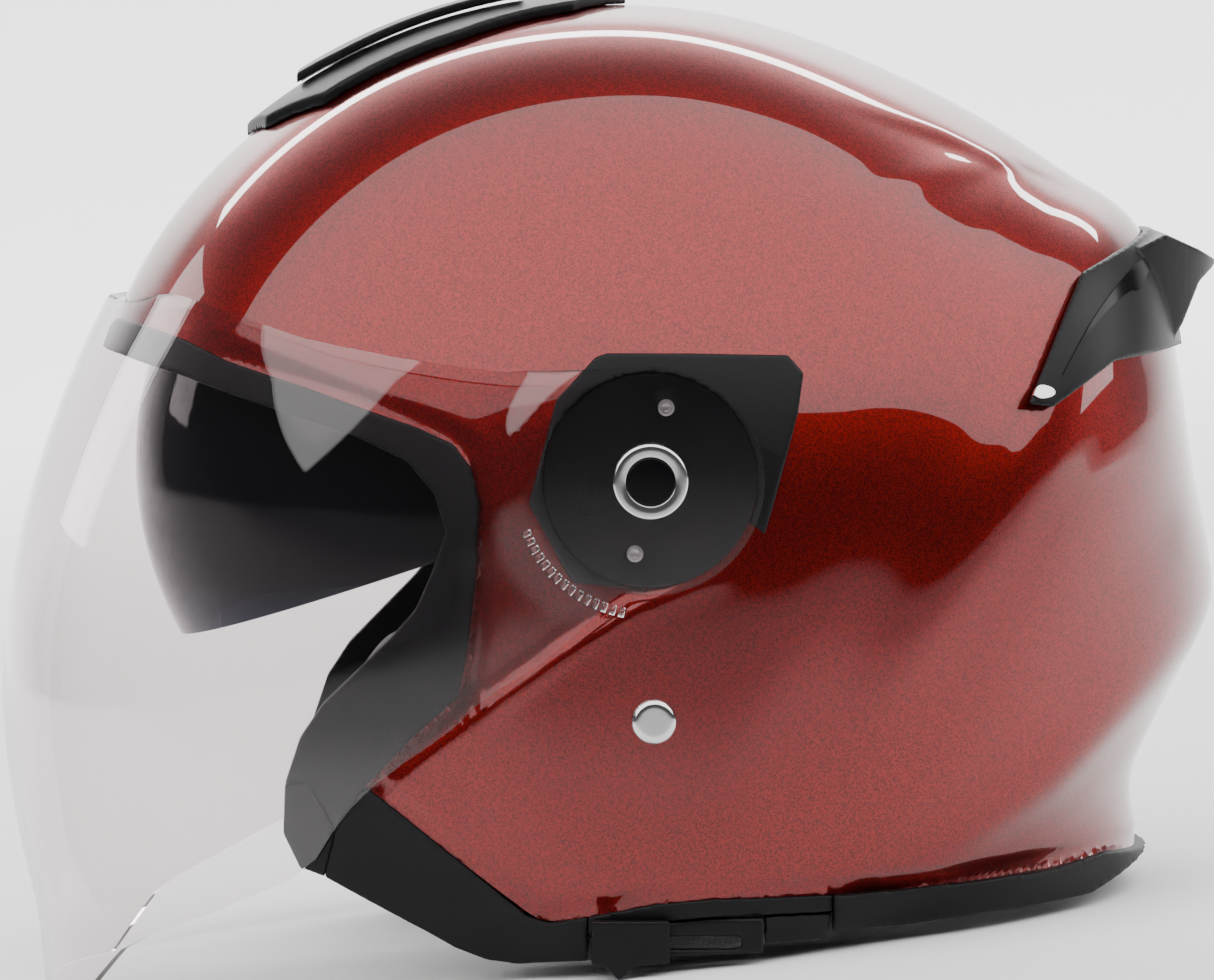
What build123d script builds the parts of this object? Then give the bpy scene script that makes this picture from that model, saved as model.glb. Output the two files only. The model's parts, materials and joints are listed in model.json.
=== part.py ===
"""Open-face motorcycle helmet with a clear shield and a drop-down sun visor.

The helmet is drawn as it is worn: the shield's hinge axis is the origin, -Y is forward, +X is the
wearer's left and +Z is up. Every plane is then tipped back and lifted by REST, so that the finished
pieces stand on the shield's lip and the rear rim, as on a shelf.
"""

import os
from functools import cache
from math import cos, pi, radians, sin

from build123d import *

os.makedirs("parts", exist_ok=True)

# Rest attitude
tip_back = 5.3
rest_height = 126.71
rest_forward = 11.03

# Helmet skin: angle of each arch about the fan axis, reach at the middle, half width, waist height
fan_y = 0
fan_z = -160
skin_arches = (
    (25, 163, 95, 60),
    (40, 195, 99, 72),
    (55, 246, 106, 90),
    (72, 274.5, 115, 115),
    (90, 280.5, 119, 130),
    (106, 269, 119, 122),
    (115, 261.5, 115, 105),
    (121, 257, 112, 95),
    (125.5, 241.5, 109, 86),
    (132, 218, 105, 75),
    (141, 194, 96, 68),
    (150, 153, 91, 55),
    (158, 143, 90, 45),
)
skin_fullness = 2.1
skin_flank = 260
skin_foot = 22

# Walls and gaps
shell_wall = 3.5
fit_gap = 0.5
seat_gap = 0.12
liner_wall = 26
comfort_wall = 5
pad_gap = 0.8
panel_height = 3.4
gasket_height = 0.9
trim_height = 0.9
rim_depth = 8.5
roll_height = 2.5
neck_roll_wall = 15
cheek_face = 64

# Shield
shield_wall = 2.2
shield_hub_radius = 29
shield_front_shift = -8
shield_levels = (
    (-148, 163, 111),
    (-125, 165, 114.5),
    (-100, 170.5, 119),
    (-65, 174.4, 122.3),
    (-26, 170.6, 122.9),
    (0, 163.5, 122.9),
    (25, 154, 121),
    (52, 141, 117.5),
)
hub_face = 120
hub_gap = 0.8
hub_plate_radius = 27
post_radius = 7.6
post_fit = 0.06
post_height = 3.6
ring_radius = 9.6
ring_wall = 1.2

# Push button
button_radius = 6.2
button_fit = 0.08
button_height = 4
button_top = 125
bore_floor = 117.9
spring_wall = 0.5

# Fasteners
screw_head_radius = 2.1
screw_head_height = 1.4
screw_shank_radius = 1.2
screw_circle = 19
screw_angle = 78
socket_radius = 1.1
socket_depth = 0.9
rivet_y = 1
rivet_z = -61.5
rivet_seat = 118.8
rivet_radius = 6
rivet_dome = 2
rivet_shank_radius = 2.6
rivet_tail_radius = 4.4
anchor_wall = 1.6
anchor_width = 26
anchor_face = 111.5

# Sun visor
visor_hinge_y = -25
visor_hinge_z = -12
visor_wall = 2
visor_half_width = 96
visor_reach_low = 107
visor_reach_high = 115.5
visor_low_angle = -19.5
visor_high_angle = 26
visor_fullness = 2.25
visor_travel = 44
visor_pocket_depth = 20.5
swing_margin = 6
visor_pin_radius = 2.5
visor_pin_fit = 0.06
visor_eye_radius = 7

# Chin strap
strap_width = 24
strap_wall = 2
strap_level = -108
buckle_length = 46
buckle_width = 30
buckle_top = -104.5
buckle_foot = -116.5
channel_width = 26
channel_height = 3
tongue_width = 20
tongue_wall = 2.2
tongue_start = -33
tongue_end = -6
lever_pocket_front = -19
lever_pocket_end = 7
lever_pocket_depth = 4
lever_width = 18
lever_wall = 2.6
lever_pin_x = -15
lever_pin_drop = 1.9
lever_pin_radius = 0.9
lever_pin_fit = 0.05
lever_barrel_radius = 1.7

# Top vent
vent_front = -106
vent_rear = -6
vent_half_width = 34
vent_height = 3.2
vent_slider_height = 6.8
vent_slider_gap = 1.3
vent_slider_front = -94
vent_slider_rear = -34
vent_slider_half_width = 17

# Sun-visor slider on the left rim
track_face = 113.4
track_wall = 4.2
track_slot_level = -118.9
knob_front = -15
knob_width = 20
knob_gap = 1.2
knob_wall = 3.6
knob_stem = 2.8
knob_stem_margin = 4
knob_travel = 22
track_outline = (
    (-15.6, -117.6), (1, -114.1), (16, -112.6), (29, -112.6), (29, -121.4), (-15.6, -123.6),
)
knob_outline = (
    (knob_front, -112.8), (knob_front + knob_width, -112.8), (knob_front + knob_width, -123.6),
    (-4, -124.4), (-8, -128), (-11, -124.8), (knob_front, -124),
)
slider_block_outline = ((29.4, -112.5), (46.8, -112.5), (44.8, -119.6), (29.4, -119.6))

# Rear spoiler
spoiler_wing_height = 3.2
spoiler_half_width = 56
spoiler_reach = 153


REST = Location((0, rest_forward, rest_height), (-tip_back, 0, 0))
SIDE = Plane(origin=(0, 0, 0), x_dir=(0, 1, 0), z_dir=(1, 0, 0))


def placed(plane):
    """A plane of the worn helmet, moved to where it is at rest."""
    return Plane(REST * plane.location)


def side_plane(x=0):
    """The side view's plane, x away from the middle: local x is rearward, local y is up."""
    return placed(SIDE.offset(x))


def fan_plane(angle, y=fan_y, z=fan_z):
    """A plane through a left-right axis, angle degrees up from straight ahead."""
    turn = radians(angle)
    return placed(Plane(origin=(0, y, z), x_dir=(1, 0, 0), z_dir=(0, -sin(turn), -cos(turn))))


def save(part, name):
    """Writes one finished piece under its own name."""
    part.label = name
    export_step(part, f"parts/{name}.step")


def arch_points(reach, half_width, waist, growth):
    """Points over one arch, left foot to right foot, grown outward by growth."""
    width = half_width + growth
    top = reach + growth
    points = [(width * (1 - ((waist - skin_foot) / skin_flank) ** 2) ** 0.5, skin_foot)]
    middle = (waist + skin_foot) / 2
    points.append((width * (1 - ((waist - middle) / skin_flank) ** 2) ** 0.5, middle))
    for step in range(9):
        turn = pi * step / 16
        across = width * cos(turn) ** (2 / skin_fullness)
        points.append((across, waist + (top - waist) * sin(turn) ** (2 / skin_fullness)))
    points[-1] = (0, top)
    return points + [(-across, up) for across, up in reversed(points[:-1])]


@cache
def skin(growth):
    """The helmet's outside as one closed form, grown outward by growth."""
    with BuildPart() as form:
        for angle, reach, half_width, waist in skin_arches:
            with BuildSketch(fan_plane(angle)):
                with BuildLine():
                    points = arch_points(reach, half_width, waist, growth)
                    Spline(*points)
                    Line(points[-1], points[0])
                make_face()
        loft()
    return form.part


def side_form(outline, low=-200, high=200, rounding=0):
    """A side-view outline carried across the helmet from low to high."""
    with BuildPart() as form:
        with BuildSketch(side_plane(low)) as flat:
            with BuildLine():
                Polyline(*outline, close=True)
            make_face()
            if rounding:
                fillet(flat.vertices(), rounding)
        extrude(amount=high - low)
    return form.part


def both_sides(name, part):
    """Saves the wearer's left piece and its mirror image."""
    with BuildPart() as left:
        add(part)
    save(left.part, f"{name}_left")
    with BuildPart() as right:
        add(part)
        mirror(about=Plane.YZ, mode=Mode.REPLACE)
    save(right.part, f"{name}_right")



# Outlines in the side view: (rearward, up)
shell_port = (
    (-141, 37), (-132, 36), (-121, 33), (-109, 28), (-88, 22), (-73, 17), (-59, 12.5), (-50, 8.5),
    (-45.5, 2.5), (-43.5, -6), (-44.5, -27), (-46.5, -44), (-49, -56), (-60, -66), (-73, -80),
)
gasket_opening = (
    (-94, -80), (-90, -68), (-84, -59), (-76, -51), (-66, -41), (-60, -34), (-56, -25), (-52, -14),
    (-55, -4), (-62, 4), (-75, 10), (-88, 14), (-109, 20), (-122, 24), (-139, 28), (-152, 30),
)
jaw_corner = (-81, -91)
cap_line = ((-88, -80), jaw_corner)
cap_front = ((-84, -104), (-90, -102), (-94.5, -93))
trim_top = ((-31.5, -113), (-26, -114.5), (-16, -112.5))
trim_foot = ((-16, -124), (-34, -126), (-42, -125), (-50, -122), (-58, -117.5), (-84, -104))
rim_side = ((1, -109), (16, -107.5), (47, -107.5))
rim_rear = ((66, -107), (86, -106), (104, -105), (121, -103), (131, -104.5), (145, -107))
roll_foot = ((145, -114), (128, -112.5), (117, -113), (86, -115), (66, -117), (47, -117.5))
strip_foot = ((47, -112), (16, -112), (1, -113.5), (-16, -117))
liner_edge = (
    (-230, 50), (-122, 45), (-92, 34), (-62, 24), (-40, 14), (-26, 2), (-26, -47), (46, -50),
    (70, -85), (95, -95), (200, -95),
)
crown_edge = (
    (-230, 54), (-122, 49), (-92, 38), (-60, 28), (-38, 18), (-22, 6), (-22, -42), (50, -45),
    (74, -78), (98, -88), (200, -88),
)
cheek_outline = (
    (-74, -56), (-84, -70), (-86, -84), (-82, -101), (-69, -112), (-53, -121), (-40, -125),
    (-15, -125), (25, -121), (44, -116), (44, -55), (20, -52), (-40, -50),
)
neck_outline = (
    (46, -116.5), (66, -116), (86, -114), (117, -112.2), (150, -111), (150, -97), (95, -97),
    (68, -88), (48, -62),
)
panel_outline = (
    (-24, 20), (-14, 31), (-11, 32), (10, 32), (35, 31.5), (39, 27), (37.5, 17), (29, -14.5),
    (27.5, -18.5), (24, -21), (8, -29), (-20, -26), (-31, -6),
)
shield_outline = (
    (0, shield_hub_radius), (-38, 27.5), (-59, 30), (-88, 35), (-98, 38), (-113, 42.5),
    (-124, 45.5), (-130, 44.5), (-136, 42.5), (-200, 44), (-200, -141.2), (-150, -141.2), (-143, -132),
    (-137, -125), (-113, -114), (-88, -102), (-79, -87), (-68, -76), (-50, -63.5), (-44, -56.5),
    (-24, -44), (-12, -32), (0, -20),
)
spoiler_outline = (
    (134, 61), (113, 51), (108, 41), (97.5, 18), (104, 17), (121, 28), (139, 30), (160, 30),
    (160, 61),
)
spoiler_lip = ((128, 56), (137, 60), (147, 55.5), (153, 52), (147, 47), (142, 36), (138, 30), (124, 40))
far = 220
below = -220
cut_through = 300
rear_rim_level = -107
brow_level = 37


def foot_region(edge):
    """Everything under a side-view edge that runs from front to rear."""
    return side_form((*edge, (edge[-1][0], below), (edge[0][0], below)))


skin_outer = skin(0)
skin_inner = skin(-shell_wall)
skin_seat = skin(seat_gap)

# Shell: moulded in one piece, open at the bottom and at the eye port
with BuildPart() as outer_shell:
    add(skin_outer)
    add(
        side_form(
            (
                *shell_port, *trim_top, *rim_side, *rim_rear, (far, rear_rim_level), (far, below),
                (-far, below), (-far, brow_level),
            )
        ),
        mode=Mode.SUBTRACT,
    )
    add(skin_inner, mode=Mode.SUBTRACT)
    with BuildSketch(side_plane(-150)):
        with Locations((rivet_y, rivet_z)):
            Circle(rivet_shank_radius + seat_gap)
        with PolarLocations(screw_circle, 2, start_angle=screw_angle):
            Circle(screw_shank_radius + seat_gap)
    extrude(amount=cut_through, mode=Mode.SUBTRACT)
save(outer_shell.part, "outer_shell")

# Rubber gasket that lines the eye port
with BuildPart() as eye_port_gasket:
    add(side_form((*shell_port, *reversed(cap_line), *gasket_opening)))
    add(skin(gasket_height), mode=Mode.INTERSECT)
    add(skin(-rim_depth), mode=Mode.SUBTRACT)
save(eye_port_gasket.part, "eye_port_gasket")


def rim_piece(outline, height, depth):
    """A band of the rim: a side-view outline, between two forms of the helmet's skin."""
    with BuildPart() as band:
        add(side_form(outline))
        add(skin(height), mode=Mode.INTERSECT)
        add(skin(-depth), mode=Mode.SUBTRACT)
    return band.part


def left_half(part):
    """The wearer's left half of a piece that crosses the middle."""
    with BuildPart() as half:
        add(part)
        split(bisect_by=Plane.YZ, keep=Keep.TOP)
    return half.part


# Rubber caps at the chin corners, and the black trim under the jaw line
chin_cap = rim_piece((*cap_line, *cap_front, gasket_opening[0]), gasket_height, rim_depth)
both_sides("chin_corner_cap", left_half(chin_cap))
jaw_trim = rim_piece((jaw_corner, shell_port[-1], *trim_top, *trim_foot), trim_height, rim_depth)
both_sides("jaw_trim", left_half(jaw_trim))

# Edge strips along the sides, and the rubber roll round the nape
edge_strip = rim_piece((trim_top[-1], *rim_side, *strip_foot), trim_height, rim_depth)
both_sides("rim_strip", left_half(edge_strip))
rear_rim_roll = rim_piece((rim_side[-1], *rim_rear, *roll_foot), roll_height, rim_depth)
save(rear_rim_roll, "rear_rim_roll")

# Sun visor: a smoked sheet that swings about its eyes at the temples
def visor_reach(angle):
    """Reach of the visor's outside from its hinge axis at an angle above straight ahead."""
    share = (angle - visor_low_angle) / (visor_high_angle - visor_low_angle)
    return visor_reach_low + (visor_reach_high - visor_reach_low) * sin(share * pi / 2)


def visor_arc(reach, half_width, foot):
    """Points across the visor from one temple to the other."""
    points = []
    for step in range(9):
        turn = pi * step / 16
        across = half_width * cos(turn) ** (2 / visor_fullness)
        up = reach * sin(turn) ** (2 / visor_fullness)
        if up > foot:
            points.append((across, up))
    points = [(half_width * (1 - (foot / reach) ** visor_fullness) ** (1 / visor_fullness), foot)] + points
    points[-1] = (0, reach)
    return points + [(-across, up) for across, up in reversed(points[:-1])]


with BuildPart() as sun_visor:
    for step in range(5):
        angle = visor_low_angle + (visor_high_angle - visor_low_angle) * step / 4
        with BuildSketch(fan_plane(angle, visor_hinge_y, visor_hinge_z)):
            with BuildLine():
                outside = visor_arc(visor_reach(angle), visor_half_width, visor_eye_radius - 2)
                inside = visor_arc(
                    visor_reach(angle) - visor_wall, visor_half_width - visor_wall, visor_eye_radius - 2
                )
                Spline(*outside)
                Spline(*inside)
                Line(outside[0], inside[0])
                Line(outside[-1], inside[-1])
            make_face()
    loft()
    for x in (visor_half_width - visor_wall, -visor_half_width):
        with BuildSketch(side_plane(x)):
            with Locations((visor_hinge_y, visor_hinge_z)):
                Circle(visor_eye_radius)
        extrude(amount=visor_wall)
    with BuildSketch(side_plane(-150)):
        with Locations((visor_hinge_y, visor_hinge_z)):
            Circle(visor_pin_radius + visor_pin_fit)
    extrude(amount=cut_through, mode=Mode.SUBTRACT)
save(sun_visor.part, "sun_visor")

# Hinge brackets: a pin with a foot bonded inside the shell
with BuildPart() as visor_bracket:
    with BuildSketch(side_plane(visor_half_width + pad_gap)):
        with Locations((visor_hinge_y, visor_hinge_z)):
            Circle(visor_eye_radius + 2)
    extrude(amount=40)
    add(skin(-shell_wall - seat_gap), mode=Mode.INTERSECT)
    with BuildSketch(side_plane(visor_half_width - visor_wall - 1)):
        with Locations((visor_hinge_y, visor_hinge_z)):
            Circle(visor_pin_radius)
    extrude(amount=visor_wall + 4)
both_sides("sun_visor_bracket", visor_bracket.part)

# Impact liner in two blocks: the main one, and a thin one behind the folded sun visor
def swing_point(angle):
    """A far side-view point at an angle above straight ahead, seen from the visor's hinge."""
    return (visor_hinge_y - far * cos(radians(angle)), visor_hinge_z + far * sin(radians(angle)))


swing_low = visor_low_angle - swing_margin
swing_high = visor_high_angle + visor_travel + swing_margin
swing_corners = [swing_point(swing_low + (swing_high - swing_low) * step / 6) for step in range(7)]
visor_swing = side_form(((visor_hinge_y, visor_hinge_z), *swing_corners))
liner_growth = -shell_wall - fit_gap
with BuildPart() as eps_liner:
    add(skin(liner_growth))
    add(foot_region(liner_edge), mode=Mode.SUBTRACT)
    add(visor_swing, mode=Mode.SUBTRACT)
    with BuildSketch(side_plane(-150)):
        with Locations((visor_hinge_y, visor_hinge_z)):
            Circle(visor_eye_radius + 4)
    extrude(amount=cut_through, mode=Mode.SUBTRACT)
    add(skin(liner_growth - liner_wall), mode=Mode.SUBTRACT)
save(eps_liner.part, "eps_liner")

with BuildPart() as eps_brow_liner:
    add(visor_swing)
    add(skin(liner_growth - visor_pocket_depth), mode=Mode.INTERSECT)
    add(foot_region(liner_edge), mode=Mode.SUBTRACT)
    with BuildSketch(side_plane(-150)):
        with Locations((visor_hinge_y, visor_hinge_z)):
            Circle(visor_eye_radius + 4)
    extrude(amount=cut_through, mode=Mode.SUBTRACT)
    add(skin(liner_growth - liner_wall), mode=Mode.SUBTRACT)
save(eps_brow_liner.part, "eps_brow_liner")

# Comfort liner, cheek pads and neck roll
comfort_growth = liner_growth - liner_wall - pad_gap
with BuildPart() as crown_liner:
    add(skin(comfort_growth))
    add(foot_region(crown_edge), mode=Mode.SUBTRACT)
    add(skin(comfort_growth - comfort_wall), mode=Mode.SUBTRACT)
save(crown_liner.part, "crown_liner")

strap_line = anchor_face - strap_wall / 2 - seat_gap
strap_path = ((strap_line, -56), (strap_line, -78), (58, -105), (30, strap_level), (14, strap_level))


def strap_form(wall, width):
    """The chin strap's run from its anchor to the buckle, wall thick and width wide."""
    with BuildPart() as form:
        front = Plane(origin=(0, rivet_y - width / 2, 0), x_dir=(1, 0, 0), z_dir=(0, -1, 0))
        with BuildSketch(placed(front)):
            with BuildLine():
                FilletPolyline(*strap_path, radius=6)
            trace(line_width=wall)
        extrude(amount=-width)
    return form.part


with BuildPart() as cheek_pad:
    add(side_form(cheek_outline, low=cheek_face, high=130))
    add(skin(-rim_depth - pad_gap), mode=Mode.INTERSECT)
    add(strap_form(strap_wall + 2 * pad_gap, strap_width + 2 * pad_gap), mode=Mode.SUBTRACT)
    with BuildSketch(side_plane(strap_line - 4)):
        with Locations((rivet_y, rivet_z)):
            Circle(rivet_tail_radius + pad_gap)
    extrude(amount=20, mode=Mode.SUBTRACT)
both_sides("cheek_pad", cheek_pad.part)

with BuildPart() as neck_roll:
    add(side_form(neck_outline))
    add(skin(-rim_depth - pad_gap), mode=Mode.INTERSECT)
    add(skin(-rim_depth - pad_gap - neck_roll_wall), mode=Mode.SUBTRACT)
save(neck_roll.part, "neck_roll")

# Shield
def shield_form(growth):
    """The shield's outside as a closed form, open to the rear, grown outward by growth."""
    with BuildPart() as form:
        for level, reach, half_width in shield_levels:
            with BuildSketch(placed(Plane.XY.offset(level))):
                with BuildLine():
                    depth = reach + growth + shield_front_shift
                    points = []
                    for step in range(13):
                        turn = pi * step / 12
                        across = (half_width + growth) * cos(turn)
                        points.append((across, shield_front_shift - depth * sin(turn)))
                    Spline(*points, tangents=((0, -1), (0, 1)))
                    Polyline(points[-1], (points[-1][0], 60), (points[0][0], 60), points[0])
                make_face()
        loft()
    return form.part


with BuildPart() as face_shield:
    add(side_form(shield_outline))
    add(shield_form(0), mode=Mode.INTERSECT)
    add(shield_form(-shield_wall), mode=Mode.SUBTRACT)
    with BuildSketch(side_plane(-hub_face - hub_gap)):
        Circle(hub_plate_radius + 1)
    extrude(amount=2 * (hub_face + hub_gap), mode=Mode.SUBTRACT)
    for x in (hub_face + hub_gap, -hub_face - hub_gap - shield_wall):
        with BuildSketch(side_plane(x)):
            Circle(shield_hub_radius)
        extrude(amount=shield_wall)
    with BuildSketch(side_plane(-150)):
        Circle(post_radius + post_fit)
    extrude(amount=cut_through, mode=Mode.SUBTRACT)
save(face_shield.part, "face_shield")

# Side panels, the hubs under them and what the shield turns on
with BuildPart() as side_panel:
    add(side_form(panel_outline, low=90, high=hub_face - 0.6))
    add(skin(panel_height), mode=Mode.INTERSECT)
    add(skin_seat, mode=Mode.SUBTRACT)
    with BuildSketch(side_plane(80)):
        Circle(hub_plate_radius + seat_gap)
    extrude(amount=60, mode=Mode.SUBTRACT)
both_sides("side_panel", side_panel.part)

with BuildPart() as shield_hub:
    with BuildSketch(side_plane(90)):
        Circle(hub_plate_radius)
    extrude(amount=hub_face - 90)
    add(skin_seat, mode=Mode.SUBTRACT)
    with BuildSketch(side_plane(hub_face - 1)):
        Circle(post_radius)
    extrude(amount=1 + post_height)
    with BuildSketch(side_plane(bore_floor)):
        Circle(button_radius + button_fit)
    extrude(amount=20, mode=Mode.SUBTRACT)
    with BuildSketch(side_plane(hub_face - screw_head_height)):
        with PolarLocations(screw_circle, 2, start_angle=screw_angle):
            Circle(screw_head_radius + seat_gap)
    extrude(amount=20, mode=Mode.SUBTRACT)
    with BuildSketch(side_plane(90)):
        with PolarLocations(screw_circle, 2, start_angle=screw_angle):
            Circle(screw_shank_radius + seat_gap)
    extrude(amount=40, mode=Mode.SUBTRACT)
both_sides("shield_hub", shield_hub.part)

# Rings that keep the shield on its posts
with BuildPart() as hub_ring:
    with BuildSketch(side_plane(hub_face + post_height + seat_gap)):
        Circle(ring_radius)
        Circle(button_radius + button_fit, mode=Mode.SUBTRACT)
    extrude(amount=ring_wall)
    chamfer(hub_ring.faces().sort_by(Axis.X)[-1].outer_wire().edges(), 0.5)
both_sides("hub_ring", hub_ring.part)

# Push buttons that free the shield, each on a wave washer
with BuildPart() as push_button:
    with BuildSketch(side_plane(button_top - button_height)):
        Circle(button_radius)
    extrude(amount=button_height)
    fillet(push_button.faces().sort_by(Axis.X)[-1].edges(), 0.5)
both_sides("push_button", push_button.part)

with BuildPart() as button_spring:
    with BuildSketch(side_plane(bore_floor)):
        Circle(button_radius - 0.6)
        Circle(button_radius - 2.2, mode=Mode.SUBTRACT)
    extrude(amount=spring_wall)
both_sides("button_spring", button_spring.part)

# Screws that hold the hubs to the shell, two a side
with BuildPart() as hub_screws:
    with BuildSketch(side_plane(hub_face - screw_head_height)):
        with PolarLocations(screw_circle, 2, start_angle=screw_angle):
            Circle(screw_head_radius)
    extrude(amount=screw_head_height - 0.1)
    with BuildSketch(side_plane(100)):
        with PolarLocations(screw_circle, 2, start_angle=screw_angle):
            Circle(screw_shank_radius)
    extrude(amount=hub_face - screw_head_height - 100)
    with BuildSketch(side_plane(hub_face - 0.1 - socket_depth)):
        with PolarLocations(screw_circle, 2, start_angle=screw_angle):
            RegularPolygon(socket_radius, 6)
    extrude(amount=5, mode=Mode.SUBTRACT)
    add(skin_inner, mode=Mode.SUBTRACT)
both_sides("hub_screws", hub_screws.part)

# Chin strap: rivets, anchor plates and webbing
with BuildPart() as strap_anchor:
    with BuildSketch(side_plane(anchor_face)):
        with Locations((rivet_y, rivet_z - 1)):
            RectangleRounded(anchor_width, 18, 3)
        with Locations((rivet_y, rivet_z)):
            Circle(rivet_shank_radius + seat_gap, mode=Mode.SUBTRACT)
    extrude(amount=anchor_wall)
both_sides("strap_anchor", strap_anchor.part)

with BuildPart() as strap_rivet:
    with BuildSketch(side_plane(110)):
        with Locations((rivet_y, rivet_z)):
            Circle(rivet_radius)
    extrude(amount=120.2 - 110)
    fillet(strap_rivet.faces().sort_by(Axis.X)[-1].edges(), rivet_dome)
    add(skin_seat, mode=Mode.SUBTRACT)
    with BuildSketch(side_plane(strap_line - strap_wall / 2 - seat_gap)):
        with Locations((rivet_y, rivet_z)):
            Circle(rivet_shank_radius)
    extrude(amount=rivet_seat - strap_line + strap_wall / 2 + seat_gap)
    with BuildSketch(side_plane(strap_line - strap_wall / 2 - seat_gap - 0.9)):
        with Locations((rivet_y, rivet_z)):
            Circle(rivet_tail_radius)
    extrude(amount=0.9)
both_sides("strap_rivet", strap_rivet.part)

with BuildPart() as strap_left:
    add(strap_form(strap_wall, strap_width))
    with BuildSketch(side_plane(90)):
        with Locations((rivet_y, rivet_z)):
            Circle(rivet_shank_radius + seat_gap)
    extrude(amount=40, mode=Mode.SUBTRACT)
save(strap_left.part, "chin_strap_left")

with BuildPart() as strap_right:
    add(strap_left.part)
    mirror(about=Plane.YZ, mode=Mode.REPLACE)
    with BuildSketch(side_plane(tongue_start)):
        Rectangle(400, 400)
    extrude(amount=80, mode=Mode.SUBTRACT)
save(strap_right.part, "chin_strap_right")


def front_plane(y):
    """The front view's plane at y: local x is leftward for the wearer, local y is up."""
    return placed(Plane(origin=(0, y, 0), x_dir=(1, 0, 0), z_dir=(0, -1, 0)))


with BuildPart() as strap_tongue:
    with BuildSketch(front_plane(rivet_y + tongue_width / 2)):
        with Locations(((tongue_start - seat_gap + tongue_end) / 2, strap_level)):
            Rectangle(tongue_end - tongue_start - seat_gap, tongue_wall)
    extrude(amount=tongue_width)
save(strap_tongue.part, "strap_tongue")

pocket_top = buckle_foot + lever_pocket_depth
pin_level = pocket_top - lever_pin_drop
with BuildPart() as buckle_body:
    with BuildSketch(front_plane(rivet_y + buckle_width / 2)):
        with Locations((0, (buckle_top + buckle_foot) / 2)):
            RectangleRounded(buckle_length, buckle_top - buckle_foot, 2.5)
    extrude(amount=buckle_width)
    with BuildSketch(front_plane(rivet_y + channel_width / 2)):
        with Locations((30, strap_level)):
            Rectangle(34, channel_height)
        with Locations((-26, strap_level)):
            Rectangle(44, channel_height)
    extrude(amount=channel_width, mode=Mode.SUBTRACT)
    with BuildSketch(front_plane(rivet_y + lever_width / 2 + 0.4)):
        with Locations(((lever_pocket_front + lever_pocket_end) / 2, pocket_top - 5)):
            Rectangle(lever_pocket_end - lever_pocket_front, 10)
    extrude(amount=lever_width + 0.8, mode=Mode.SUBTRACT)
    with BuildSketch(front_plane(rivet_y + lever_width / 2 + 2)):
        with Locations((lever_pin_x, pin_level)):
            Circle(lever_pin_radius)
    extrude(amount=lever_width + 4)
save(buckle_body.part, "buckle_body")

with BuildPart() as buckle_lever:
    with BuildSketch(front_plane(rivet_y + lever_width / 2)):
        with Locations((lever_pin_x, pin_level)):
            Circle(lever_barrel_radius)
        with Locations(((lever_pin_x + lever_pocket_end - 0.6) / 2, pin_level - 0.3)):
            Rectangle(lever_pocket_end - 0.6 - lever_pin_x, lever_wall)
        with Locations((lever_pin_x, pin_level)):
            Circle(lever_pin_radius + lever_pin_fit, mode=Mode.SUBTRACT)
    extrude(amount=lever_width)
save(buckle_lever.part, "buckle_lever")

# Top vent: a fixed cover and the slider on it
def top_form(outline):
    """A half outline in the top view, (leftward, rearward), carried up through the crown."""
    with BuildPart() as form:
        with BuildSketch(placed(Plane.XY.offset(40))):
            with BuildLine():
                Polyline(*outline, *[(-x, y) for x, y in reversed(outline) if x], close=True)
            make_face()
        extrude(amount=120)
    return form.part


vent_outline = (
    (0, vent_front - 2), (vent_half_width * 0.6, vent_front + 4), (vent_half_width, vent_front + 20),
    (vent_half_width * 0.9, vent_rear - 44), (vent_half_width * 0.6, vent_rear - 14), (0, vent_rear),
)
slider_outline = (
    (vent_slider_half_width * 0.8, vent_slider_front),
    (vent_slider_half_width, vent_slider_front + 12),
    (vent_slider_half_width * 0.7, vent_slider_rear),
)
with BuildPart() as top_vent_cover:
    add(top_form(vent_outline))
    add(skin(vent_height), mode=Mode.INTERSECT)
    add(skin_seat, mode=Mode.SUBTRACT)
save(top_vent_cover.part, "top_vent_cover")

with BuildPart() as top_vent_slider:
    add(top_form(slider_outline))
    add(skin(vent_slider_height), mode=Mode.INTERSECT)
    add(skin(vent_height + vent_slider_gap), mode=Mode.SUBTRACT)
save(top_vent_slider.part, "top_vent_slider")

# Rear spoiler over the exhaust vent
with BuildPart() as spoiler_tail:
    add(side_form(spoiler_lip, low=-spoiler_half_width, high=spoiler_half_width))
    with BuildSketch(placed(Plane.XY.offset(-40))):
        Ellipse(spoiler_half_width * 1.35, spoiler_reach)
    extrude(amount=160, mode=Mode.INTERSECT)

with BuildPart() as rear_spoiler:
    add(side_form(spoiler_outline))
    add(skin(spoiler_wing_height), mode=Mode.INTERSECT)
    add(spoiler_tail.part)
    add(skin_seat, mode=Mode.SUBTRACT)
save(rear_spoiler.part, "rear_spoiler")

# Sun-visor slider on the left rim: track, knob and end block
with BuildPart() as slider_track:
    add(side_form(track_outline, low=track_face - track_wall, high=track_face))
    slot_front = knob_front + knob_stem_margin - 0.3
    slot_rear = knob_front + knob_width - knob_stem_margin + knob_travel + 0.3
    with BuildSketch(side_plane(track_face - 20)):
        with Locations(((slot_front + slot_rear) / 2, track_slot_level)):
            Rectangle(slot_rear - slot_front, knob_stem + 0.6)
    extrude(amount=40, mode=Mode.SUBTRACT)
save(slider_track.part, "slider_track")

with BuildPart() as slider_knob:
    add(side_form(knob_outline, low=track_face + knob_gap, high=track_face + knob_gap + knob_wall))
    with BuildSketch(side_plane(track_face - track_wall - 2)):
        with Locations((knob_front + knob_width / 2, track_slot_level)):
            Rectangle(knob_width - 2 * knob_stem_margin, knob_stem)
    extrude(amount=track_wall + 2 + knob_gap + 0.5)
save(slider_knob.part, "slider_knob")

save(left_half(rim_piece(slider_block_outline, trim_height, rim_depth)), "slider_end_block")
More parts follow.
